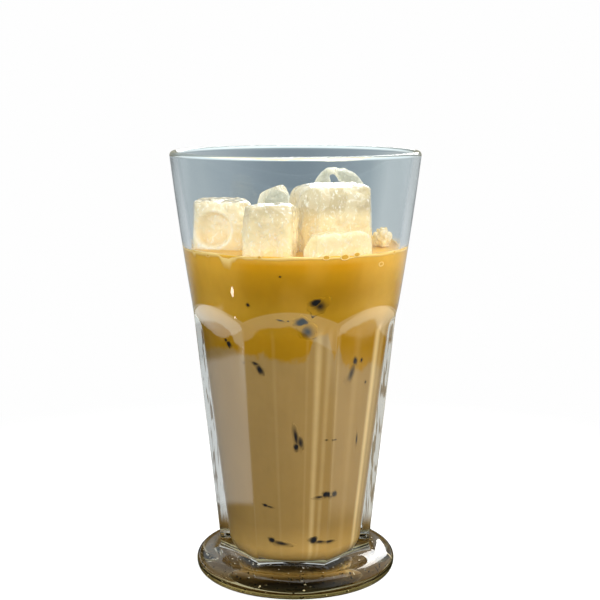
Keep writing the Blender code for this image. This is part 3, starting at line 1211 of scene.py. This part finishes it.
@dataclass
class IceLump:
    """Rounded block of ice with an uneven, melted surface."""

    name: str
    node: str
    centre: tuple
    half: tuple
    turn: float
    top_scale: float
    seed: int
    finish: Material
    slot: Slot
    squareness: float = 5.0
    unevenness: float = 0.35
    hollow: Hollow | None = None
    facets: int = 9

    def surface(self) -> tuple[Surface, np.ndarray, np.ndarray]:
        """Work out the block.

        A direction on the unit ball is pushed out to a rounded cube: it is divided by the
        root, of order squareness, of the sum of its parts to that power. The top shrinks,
        and smooth unevenness moves each point along its direction. Seeded planes shave flat
        facets off the corners. A hollow is pressed in last.

        Returns:
            The closed surface, how warm each point is, and a painted highlight that is
            strongest near the hollow's edge, from 0 to 1.
        """
        ball, quads, triangles = ball_grid(76, 128)
        power = self.squareness
        size = (np.abs(ball) ** power).sum(axis=1) ** (1.0 / power)
        unit = ball / size[:, None]
        side = 1.0 + (self.top_scale - 1.0) * (unit[:, 2] + 1.0) / 2.0
        shape = unit * np.array(self.half)
        shape[:, :2] *= side[:, None]
        bumps = ripple_field(shape, self.seed, 9.0) + 0.35 * ripple_field(shape, self.seed + 1, 2.6)
        chips = np.maximum(ripple_field(shape, self.seed + 2, 5.0) - 0.35, 0.0)
        shape += ball * (self.unevenness * (bumps - 0.6 - 1.6 * chips))[:, None]
        draw = np.random.default_rng(self.seed + 7)
        for _ in range(self.facets):
            way = draw.normal(size=3) * np.array([1.0, 1.0, 0.8])
            way[2] = abs(way[2])
            way /= np.linalg.norm(way)
            reach = shape @ way
            over = np.maximum(reach - draw.uniform(0.86, 0.95) * reach.max(), 0.0)
            shape -= 0.92 * over[:, None] * way
        points = turned(shape, self.turn) + np.array(self.centre)
        warm = hollow_lip_highlight = np.zeros(len(points))
        if self.hollow is not None:
            points, warm, hollow_lip_highlight = self.hollow.press(points)
        return Surface(points, quads, triangles).outward(), warm, hollow_lip_highlight

    def build(self) -> None:
        """Build the block and let it stand for its solid."""
        surface, warm, hollow_lip_highlight = self.surface()
        piece = write_object(self.name, surface, self.finish, {"warm": warm, "hollow_lip_highlight": hollow_lip_highlight})
        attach(piece, "root")
        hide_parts(self.node)


@dataclass
class IceLoop:
    """Slab of clear ice that narrows upwards and has a hole right through near its top."""

    finish: Material
    centre: tuple = (15.9, 13.9, 125.6)
    half: tuple = (10.8, 4.9, 14.7)
    turn: float = -6.0
    top_scale: float = 0.90
    hole_at: tuple = (-1.9, 9.3)
    slope: float = 0.16
    hole: float = 3.3
    seed: int = 71
    rows: int = 40
    cols: int = 150

    def reach(self, angle: np.ndarray) -> np.ndarray:
        """Distance from the hole's middle to the slab's outline along each angle.

        The outline is where x over the half width at that height and z over the half
        height, both to the power 2.8, add up to one. Halving steps find it.

        Args:
            angle: Angles in radians round the hole.

        Returns:
            Distances.
        """
        low = np.zeros_like(angle)
        high = np.full_like(angle, 60.0)
        for _ in range(40):
            middle = 0.5 * (low + high)
            x = self.hole_at[0] + middle * np.cos(angle)
            z = self.hole_at[1] + middle * np.sin(angle)
            side = 1.0 + (self.top_scale - 1.0) * (np.clip(z / self.half[2], -1.0, 1.0) + 1.0) / 2.0
            inside = (np.abs(x / (self.half[0] * side)) ** 2.8
                      + np.abs(z / self.half[2]) ** 2.8) < 1.0
            low = np.where(inside, middle, low)
            high = np.where(inside, high, middle)
        return low

    def surface(self) -> Surface:
        """Carry a rounded section round the hole, from its edge to the outline.

        The hole has three soft corners: its radius swings with the cosine of three times
        the angle. The top falls away to the right.

        Returns:
            The closed surface.
        """
        angle = full_turn(self.cols)
        outer = self.reach(angle)
        inner = self.hole * (0.82 + 0.26 * np.cos(3.0 * angle + 0.5))
        turn = full_turn(self.rows)
        swing = np.sign(np.cos(turn)) * np.abs(np.cos(turn)) ** 0.7
        depth = np.sign(np.sin(turn)) * np.abs(np.sin(turn)) ** 0.7
        radial = 0.5 * (outer + inner) + 0.5 * (outer - inner) * swing[:, None]
        thick = self.half[1] * np.minimum(1.0, 0.62 + 0.016 * radial)
        x = self.hole_at[0] + radial * np.cos(angle)
        z = self.hole_at[1] + radial * np.sin(angle)
        shape = np.stack([x, thick * depth[:, None], z], axis=2).reshape(-1, 3)
        high = smooth_step(2.0, 12.0, shape[:, 2])
        shape[:, 2] -= self.slope * (shape[:, 0] + 0.6 * self.half[0]) * high
        bumps = ripple_field(shape, self.seed, 6.0) + 0.5 * ripple_field(shape, self.seed + 1, 2.6)
        shape *= (1.0 + 0.018 * (bumps - 1.4))[:, None]
        shape[:, 1] += 0.35 * ripple_field(shape, self.seed + 2, 5.0)
        points = turned(shape, self.turn) + np.array(self.centre)
        quads = grid_faces(self.rows, self.cols, wrap_rows=True)
        return Surface(points, quads, NO_TRIANGLES).outward()

    def build(self) -> None:
        """Build the slab and let it stand for its solid."""
        piece = write_object("ice_loop_back", self.surface(), self.finish)
        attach(piece, "root")
        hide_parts("ice_ring")


@dataclass
class CrushedIce:
    """Small heap of crushed ice against the glass."""

    finish: Material
    centre: tuple = (29.9, -1.5, 116.7)
    half: tuple = (2.3, 5.0, 4.2)
    count: int = 120
    seed: int = 11

    def build(self) -> None:
        """Scatter seeded small lumps inside a low dome and join them.

        A chip is a unit ball whose parts are taken to the power 0.75, which squares it,
        times its three sizes, and swollen unevenly along its directions.
        """
        draw = np.random.default_rng(self.seed)
        ball, quads, triangles = ball_grid(8, 14)
        parts = []
        for index in range(self.count):
            way = draw.normal(size=3)
            way /= np.linalg.norm(way)
            spot = np.array(self.centre) + way * np.array(self.half) * draw.uniform(0.2, 1.0)
            size = draw.uniform(0.5, 1.3) * draw.uniform(0.6, 1.3, 3)
            chip = np.sign(ball) * np.abs(ball) ** 0.75 * size
            chip += ball * 0.18 * ripple_field(ball * 3.0, 100 + index, 3.0)[:, None]
            parts.append(Surface(chip + spot, quads, triangles).outward())
        piece = write_object("crushed_ice_heap", join_surfaces(parts), self.finish)
        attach(piece, "root")
        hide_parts("ice_crushed")


@dataclass(frozen=True)
class Mark:
    """Dark window where sunk ice touches the glass: place, size and slant."""

    azimuth: float
    height: float
    half_width: float
    half_height: float
    slant: float = 0.0
    core: float = 0.55
    tint: float = 0.3


@dataclass
class SunkIce:
    """Windows of ice under the surface, as flat lenses on the side of the drink."""

    drink: Drink
    finish: SunkIceFinish
    thickness: float = 0.09
    marks: tuple = (
        Mark(11.6, 100.0, 2.4, 2.0, 12.0, 0.80),
        Mark(14.2, 98.8, 3.4, 2.6, 30.0, 0.10),
        Mark(-28.4, 98.9, 0.9, 0.9, 0.0, 0.6),
        Mark(-7.9, 108.8, 0.6, 0.5, 0.0, 0.6),
        Mark(3.8, 94.2, 3.0, 1.9, 8.0, 0.75, 0.8),
        Mark(8.6, 90.6, 3.0, 4.0, 30.0, 0.05, 0.7),
        Mark(-9.4, 94.8, 2.0, 0.5, -12.0, 0.2, 0.2),
        Mark(-4.6, 94.6, 0.6, 0.4, 0.0, 0.3, 0.2),
        Mark(-49.2, 84.0, 1.9, 1.6, -20.0, 0.7),
        Mark(-52.6, 85.2, 1.0, 0.9, 0.0, 0.6),
        Mark(-27.7, 76.6, 1.6, 2.4, 30.0, 0.65),
        Mark(-31.0, 78.6, 2.2, 0.9, -20.0, 0.2),
        Mark(44.5, 78.6, 1.5, 1.9, 10.0, 0.7),
        Mark(41.0, 74.4, 2.0, 4.4, -26.0, 0.10),
        Mark(51.9, 78.4, 0.9, 1.1, 0.0, 0.6),
        Mark(60.6, 70.1, 0.9, 0.8, 0.0, 0.5),
        Mark(0.5, 53.6, 1.1, 4.6, 8.0, 0.35),
        Mark(0.9, 50.2, 1.2, 1.8, 0.0, 0.75),
        Mark(4.6, 51.6, 1.4, 3.4, 4.0, 0.05),
        Mark(56.2, 50.3, 0.8, 2.8, 4.0, 0.5),
        Mark(28.3, 52.3, 1.0, 0.35, -6.0, 0.3, 0.1),
        Mark(30.8, 32.8, 1.9, 1.5, 8.0, 0.7),
        Mark(24.6, 32.0, 2.6, 0.9, 4.0, 0.15),
        Mark(-31.3, 28.7, 1.6, 0.8, -10.0, 0.6),
        Mark(-26.6, 28.3, 2.2, 0.5, -6.0, 0.15),
        Mark(-26.4, 16.2, 2.0, 1.5, -14.0, 0.7),
        Mark(-15.0, 15.2, 4.6, 1.2, -6.0, 0.2),
        Mark(20.8, 16.2, 2.2, 1.8, 24.0, 0.75),
        Mark(28.5, 15.6, 3.4, 0.9, -4.0, 0.25),
        Mark(112.0, 62.0, 1.2, 2.6, 10.0, 0.5),
        Mark(150.0, 96.0, 1.8, 1.5, 0.0, 0.6),
        Mark(-130.0, 40.0, 1.4, 2.2, -20.0, 0.5),
        Mark(-165.0, 74.0, 2.0, 1.0, 12.0, 0.5),
    )

    def build(self) -> None:
        """Lay each lens on the side of the drink and join them.

        A lens is a unit ball squashed to the window's size. Its shade goes from 0 at the
        core to 1 at the edge.
        """
        ball, quads, triangles = ball_grid(13, 28)
        flat = ball[:, [0, 2, 1]]
        reach = np.hypot(flat[:, 0], flat[:, 1])
        parts, shades, tints = [], [], []
        for index, mark in enumerate(self.marks):
            slant = math.radians(mark.slant)
            edge = 1.0 + 0.22 * ripple_field(flat * 2.0, 300 + index, 2.2)
            u = flat[:, 0] * mark.half_width * edge
            v = flat[:, 1] * mark.half_height * edge
            side = u * math.cos(slant) - v * math.sin(slant)
            rise = u * math.sin(slant) + v * math.cos(slant)
            z = mark.height + rise
            wall = self.drink.wall_radius(z)
            radius = wall + self.thickness * flat[:, 2]
            azimuth = math.radians(mark.azimuth) + side / wall
            points = round_axis(radius, azimuth, z)
            parts.append(Surface(points, quads, triangles).outward())
            shades.append(smooth_step(mark.core * 0.5, 0.97, reach))
            tints.append(np.full(len(ball), mark.tint))
        values = {"shade": np.concatenate(shades), "tint": np.concatenate(tints)}
        piece = write_object("sunk_ice_windows", join_surfaces(parts), self.finish.material(),
                             values)
        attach(piece, "root")


@dataclass
class SurfaceFoam:
    """Foam and bubbles where the drink meets the glass.

    A bubble is (azimuth, height, radius), a drip (azimuth, depth, half width in degrees).
    """

    drink: Drink
    finish: FoamFinish
    bubbles: tuple = (
        (15.4, 114.9, 1.1), (25.2, 114.8, 1.4), (32.0, 115.4, 1.1), (49.3, 111.4, 1.1),
        (-50.0, 114.2, 0.8), (-18.0, 114.9, 0.7), (60.0, 114.6, 0.9), (95.0, 114.6, 1.1),
        (150.0, 114.7, 0.9), (172.0, 114.5, 1.3), (-120.0, 114.6, 1.0), (-160.0, 114.8, 0.8),
    )
    drips: tuple = ((-63.0, 1.6, 1.8), (-37.6, 4.4, 3.3), (-33.4, 1.6, 2.6), (-52.0, 0.8, 9.0),
                    (-24.0, 0.5, 3.0), (26.0, 0.5, 3.0), (120.0, 2.0, 2.4), (200.0, 2.4, 2.2))
    cols: int = 540
    rows: int = 14

    def build_band(self) -> None:
        """Build the thin band of foam on the wall at the surface.

        The section is a flat lens. Its lower edge hangs lower where slow waves and the
        drips, blunt bell curves of azimuth, say so.
        """
        azimuth = full_turn(self.cols)
        low = 113.9 - 0.22 * np.cos(azimuth * 5.0 + 1.0) - 0.14 * np.cos(azimuth * 13.0 + 2.0)
        for place, depth, width in self.drips:
            off = (np.degrees(azimuth) - place + 180.0) % 360.0 - 180.0
            low = low - depth * np.exp(-(off / width) ** 4)
        high = 115.15 + 0.16 * np.cos(azimuth * 7.0) + 0.10 * np.cos(azimuth * 17.0 + 0.7)
        around = full_turn(self.rows)
        middle = 0.5 * (low + high)
        z = middle + 0.5 * (high - low) * np.cos(around)[:, None]
        wall = self.drink.wall_radius(z)
        radius = wall - 0.25 + 0.32 * np.sin(around)[:, None]
        ring = round_axis(radius, azimuth, z).reshape(-1, 3)
        surface = Surface(ring, grid_faces(self.rows, self.cols, wrap_rows=True), NO_TRIANGLES)
        fade = smooth_step(0.0, 0.9, 0.5 - 0.5 * np.cos(around)) * np.ones((self.cols, 1))
        piece = write_object("foam_band", surface.outward(), self.finish.material(),
                             {"shade": fade.T.ravel()})
        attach(piece, "root")

    def build_bubbles(self) -> None:
        """Build ringed bubbles against the wall: a thin ring of foam round a dark dimple.

        The ring is a round section carried along an ellipse, and the dimple a flat lens.
        """
        rows, cols = 10, 26
        around = full_turn(cols)
        tube = full_turn(rows)
        ring_faces = (grid_faces(rows, cols, wrap_rows=True), NO_TRIANGLES)
        ball, *ball_faces = ball_grid(7, cols)
        parts, shades = [], []
        for place, height, size in self.bubbles:
            reach = size * (1.0 + 0.16 * np.cos(tube))[:, None]
            side = reach * np.cos(around)
            rise = 0.62 * reach * np.sin(around)
            out = 0.16 * size * np.sin(tube)[:, None] * np.ones(cols)
            ring = np.stack([side, rise, out], axis=2).reshape(-1, 3)
            lens = ball[:, [0, 2, 1]] * np.array([0.9, 0.55, 0.1]) * size
            for flat, faces, shade in ((ring, ring_faces, 0.0), (lens, ball_faces, 1.0)):
                z = height + flat[:, 1]
                wall = self.drink.wall_radius(z)
                azimuth = math.radians(place) + flat[:, 0] / wall
                points = round_axis(wall + 0.02 + flat[:, 2] * 0.8, azimuth, z)
                parts.append(Surface(points, *faces).outward())
                shades.append(np.full(len(points), shade))
        piece = write_object("wall_bubbles", join_surfaces(parts), self.finish.material(),
                             {"shade": np.concatenate(shades)})
        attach(piece, "root")


@dataclass
class FootSpecks:
    """Tiny bubbles and dark flecks in the thick glass of the foot."""

    count: int = 260
    pale_share: float = 0.24
    seed: int = 5

    def material(self) -> Material:
        """Build the material, dark or pale by the piece's tint value.

        Returns:
            Plain finish for the flecks.
        """
        material, nodes, shader = new_material("foot_flecks")
        colour = nodes.coats(linear(18, 14, 6), (nodes.carried("tint"), (250, 246, 232)))
        nodes.fill(shader, {"Base Color": colour, "Roughness": 0.4})
        return material

    def build(self) -> None:
        """Scatter seeded flat balls low in the foot and join them."""
        draw = np.random.default_rng(self.seed)
        ball, quads, triangles = ball_grid(5, 9)
        parts, tints = [], []
        for _ in range(self.count):
            azimuth = draw.uniform(0.0, 2.0 * np.pi)
            radius = draw.uniform(15.0, 31.8)
            size = draw.uniform(0.12, 0.40) * np.array([1.0, 1.0, 0.45])
            spot = round_axis(radius, azimuth, draw.uniform(1.2, 4.2))
            parts.append(Surface(ball * size + spot, quads, triangles).outward())
            tints.append(np.full(len(ball), 1.0 if draw.uniform() < self.pale_share else 0.0))
        piece = write_object("foot_flecks", join_surfaces(parts), self.material(),
                             {"tint": np.concatenate(tints)})
        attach(piece, "root")


@dataclass
class Studio:
    """Pale floor, soft lights and the camera.

    A lamp is (name, place in metres, width, height, watts, colour).
    """

    distance: float = 446.3
    eye_height: float = 168.7
    pitch: float = 9.32
    focal: float = 78.78
    shift: float = 0.0075
    aim_height: float = 0.08
    room: tuple = ((0.00, (176, 184, 186)), (0.20, (160, 170, 175)), (0.36, (136, 148, 155)),
                   (0.55, (136, 148, 155)), (0.70, (150, 161, 167)), (0.84, (168, 178, 181)),
                   (1.00, (208, 213, 212)))
    table: tuple = ((0.34, (12, 9, 3)), (0.43, (74, 58, 24)), (0.55, (112, 90, 44)),
                    (0.64, (136, 112, 62)), (0.72, (230, 224, 208)))
    lamps: tuple = (
        ("overhead", (0.10, 0.10, 1.05), 0.9, 0.9, 3.9, (1.0, 0.99, 0.97)),
        ("key_right", (0.82, -0.28, 0.52), 0.35, 0.8, 11.0, (1.0, 0.98, 0.94)),
        ("fill_left", (-0.80, -0.50, 0.45), 0.30, 0.8, 9.0, (0.95, 0.98, 1.0)),
        ("back", (0.25, 0.85, 0.55), 0.6, 0.5, 6.0, (1.0, 0.99, 0.97)),
        ("front", (0.15, -1.00, 0.35), 0.8, 0.7, 10.0, (1.0, 0.99, 0.96)),
    )

    def seen_through(self, nodes: Nodes) -> Node:
        """Light seen through the glass: a brown table near it, a grey room far off.

        Args:
            nodes: Nodes of the floor's material.

        Returns:
            Emission node.
        """
        x, y, _ = nodes.xyz
        aside = nodes.math("DIVIDE", x, nodes.math("ADD", nodes.math("ABSOLUTE", y), 0.5))
        far = nodes.tones(nodes.span(aside, -0.12, 0.12, smooth=False), self.room)
        brown = nodes.tones(nodes.noise(nodes.place, 650.0, 4.0, 0.75), self.table)
        colour = nodes.coats(brown, (nodes.span(nodes.reach, 0.052, 0.078), (216, 222, 224)))
        colour = nodes.mix(nodes.span(nodes.reach, 0.45, 0.85), colour, far)
        return nodes.add("ShaderNodeEmission", {"Color": colour})

    def mirrored(self, nodes: Nodes) -> Node:
        """Light mirrored by the glass: dark in front, a soft card at each side and a glint.

        Args:
            nodes: Nodes of the floor's material.

        Returns:
            Emission node.
        """
        x, y, _ = nodes.xyz
        reach = nodes.reach
        left = nodes.times(nodes.span(x, -0.074, -0.081),
                           nodes.span(reach, 0.259, 0.276, 1.0, 0.0),
                           nodes.span(y, -0.05, -0.01))
        right = nodes.times(nodes.span(x, 0.055, 0.085), nodes.span(reach, 0.22, 0.28, 1.0, 0.0),
                            nodes.span(y, -0.07, -0.03))
        away = nodes.add("ShaderNodeVectorMath",
                         {0: nodes.place, 1: (-0.255, -0.103, -0.00015)}, operation="DISTANCE")
        glint = nodes.span(away.outputs["Value"], 0.007, 0.010, 14.0, 0.0)
        colour = nodes.coats(linear(24, 21, 16), (nodes.span(y, 0.15, 0.45), (176, 182, 184)),
                             (left, (236, 240, 244)), (right, (255, 240, 212)),
                             (glint, (255, 252, 244)))
        power = nodes.math("MULTIPLY_ADD", left, 0.4, nodes.math("ADD", glint, 1.0))
        return nodes.add("ShaderNodeEmission", {"Color": colour, "Strength": power})

    def floor_material(self) -> Material:
        """Make the floor: pale to the eye, a table and soft cards to the glass.

        Returns:
            The floor's material.
        """
        material, nodes, shader = new_material("studio_floor")
        material.cycles.emission_sampling = "NONE"
        nodes.fill(shader, {"Base Color": linear(247, 247, 246), "Roughness": 0.6,
                            "Specular IOR Level": 0.1})
        path = nodes.add("ShaderNodeLightPath").outputs
        first = nodes.math("LESS_THAN", path["Diffuse Depth"], 0.5)
        white = nodes.add("ShaderNodeEmission", {"Color": linear(254, 254, 254)})
        surface = shader
        fade = nodes.span(nodes.reach, 0.03, 0.26, 0.45, 1.0)
        for factor, shown in (
                (nodes.times(fade, path["Is Camera Ray"]), white),
                (nodes.times(first, path["Is Transmission Ray"]), self.seen_through(nodes)),
                (nodes.times(first, path["Is Reflection Ray"]), self.mirrored(nodes))):
            surface = nodes.add("ShaderNodeMixShader",
                                {0: factor, 1: surface.outputs[0], 2: shown.outputs[0]})
        nodes.fill(nodes.tree.nodes["Material Output"], {"Surface": surface.outputs[0]})
        return material

    def build_floor(self) -> None:
        """Lay a wide pale floor just under the foot."""
        cols = 96
        radius = np.array([10.0, 60.0, 200.0, 800.0, 3000.0])[:, None]
        azimuth = full_turn(cols)
        low = np.full((len(radius), cols), -0.15)
        points = np.concatenate([round_axis(radius, azimuth, low).reshape(-1, 3),
                                 [[0.0, 0.0, -0.15]]])
        fan = fan_faces(np.arange(cols), len(radius) * cols, False)
        surface = Surface(points, grid_faces(len(radius), cols), fan)
        floor = write_object("studio_floor", surface, self.floor_material())

    def build_world(self) -> None:
        """Make the surroundings: near white as a background, cooler and darker in glass."""
        world = bpy.data.worlds.new("studio_world")
        bpy.context.scene.world = world
        world.use_nodes = True
        nodes = Nodes(world.node_tree)
        x, y, z = nodes.split(nodes.add("ShaderNodeTexCoord").outputs["Generated"])
        path = nodes.add("ShaderNodeLightPath").outputs
        behind = nodes.span(y, -0.25, 0.55)
        mirrored = nodes.coats(
            linear(34, 38, 42), (behind, (214, 222, 226)),
            (nodes.times(nodes.span(z, 0.20, 0.36, 1.0, 0.0), behind), (122, 102, 60)),
            (nodes.span(x, 0.25, 0.75), (236, 238, 236)))
        through = nodes.coats(
            linear(148, 160, 166), (nodes.span(x, 0.10, 0.46), (216, 221, 221)),
            (nodes.span(x, -0.10, -0.45), (172, 182, 186)),
            (nodes.span(z, 0.25, 0.75), (220, 226, 230)))
        soft = nodes.coats(linear(176, 172, 164), (nodes.span(z, -0.2, 0.6), (232, 236, 240)))
        seen = nodes.mix(path["Is Reflection Ray"], through, mirrored)
        seen = nodes.mix(nodes.math("GREATER_THAN", path["Diffuse Depth"], 0.5), seen, soft)
        seen = nodes.coats(seen, (path["Is Camera Ray"], (254, 254, 254)))
        nodes.fill(nodes.tree.nodes["Background"], {"Color": seen, "Strength": 1.0})

    def build_lights(self) -> None:
        """Set the soft lights, each turned to the middle of the glass."""
        for name, spot, wide, tall, power, colour in self.lamps:
            lamp = bpy.data.lights.new(name, "AREA")
            lamp.shape = "RECTANGLE"
            lamp.size, lamp.size_y, lamp.energy, lamp.color = wide, tall, power, colour
            obj = bpy.data.objects.new(name, lamp)
            obj.visible_glossy = name in ("overhead", "back")
            obj.visible_transmission = False
            bpy.context.scene.collection.objects.link(obj)
            x, y, z = spot
            obj.location = spot
            obj.rotation_euler = (math.atan2(math.hypot(x, y), z - self.aim_height), 0.0,
                                  math.atan2(x, -y))

    def build_camera(self) -> None:
        """Place the camera at the photograph's view."""
        lens = bpy.data.cameras.new("camera")
        lens.lens = self.focal
        lens.sensor_width = 36.0
        lens.shift_x = self.shift
        lens.clip_start = 0.01
        camera = bpy.data.objects.new("camera", lens)
        bpy.context.scene.collection.objects.link(camera)
        camera.location = (0.0, -self.distance * MM, self.eye_height * MM)
        camera.rotation_euler = (math.radians(90.0 - self.pitch), 0.0, 0.0)
        bpy.context.scene.camera = camera

    def set_light_paths(self) -> None:
        """Let light pass through many layers of glass and ice, and keep colours plain."""
        scene = bpy.context.scene
        scene.view_settings.view_transform = "Standard"
        scene.cycles.max_bounces = 20
        scene.cycles.transmission_bounces = 18
        scene.cycles.transparent_max_bounces = 18
        scene.cycles.caustics_refractive = False
        scene.cycles.caustics_reflective = False


def main() -> None:
    """Build every piece in order."""
    logging.basicConfig(level=logging.INFO)
    tone = DrinkTone().group()
    grain = FrostGrain().group()
    frosted = FrostedIceFinish(grain).material()
    clear = ClearIceFinish(grain).material()

    shell = GlassShell(GlassFinish())
    shell.build()
    drink = Drink(shell, DrinkFinish("coffee_milky", tone, 0.25),
                  DrinkFinish("coffee_amber", tone, 0.35))
    drink.build_milk()
    drink.build_top()

    lumps = (
        IceLump("ice_left_lump", "ice_left", (-25.1, -1.5, 120.2), (9.5, 8.6, 10.1), 0.0,
                1.10, 61, frosted, Slot.FROSTED, 7.0, 0.3,
                Hollow((-27.4, -11.1, 120.8), (0.10, 0.99, 0.0), 6.0, 2.2)),
        IceLump("ice_middle_lump", "ice_middle", (-7.9, -22.0, 119.9), (8.3, 8.5, 11.0), -10.0,
                0.97, 21, frosted, Slot.FROSTED, 7.0, 0.3),
        IceLump("ice_right_block", "ice_right", (12.2, -6.8, 120.8), (13.0, 11.0, 15.0), 20.0,
                0.97, 31, frosted, Slot.FROSTED, 7.0, 0.4),
        IceLump("ice_front_slab", "ice_front", (13.3, -26.1, 115.4), (11.4, 4.2, 6.8), 27.0,
                0.95, 41, frosted, Slot.FROSTED, 5.4, 0.25),
        IceLump("ice_small_lump", "ice_small", (-7.4, 8.5, 123.4), (6.6, 5.8, 11.6), -12.0,
                0.84, 51, clear, Slot.CLEAR, 3.4),
    )
    for lump in lumps:
        lump.build()
    IceLoop(clear).build()
    CrushedIce(frosted).build()
    SunkIce(drink, SunkIceFinish(tone)).build()
    foam = SurfaceFoam(drink, FoamFinish(tone))
    foam.build_band()
    foam.build_bubbles()
    FootSpecks().build()

    studio = Studio()
    studio.build_floor()
    studio.build_world()
    studio.build_lights()
    studio.build_camera()
    studio.set_light_paths()


if __name__ == "__main__":
    main()
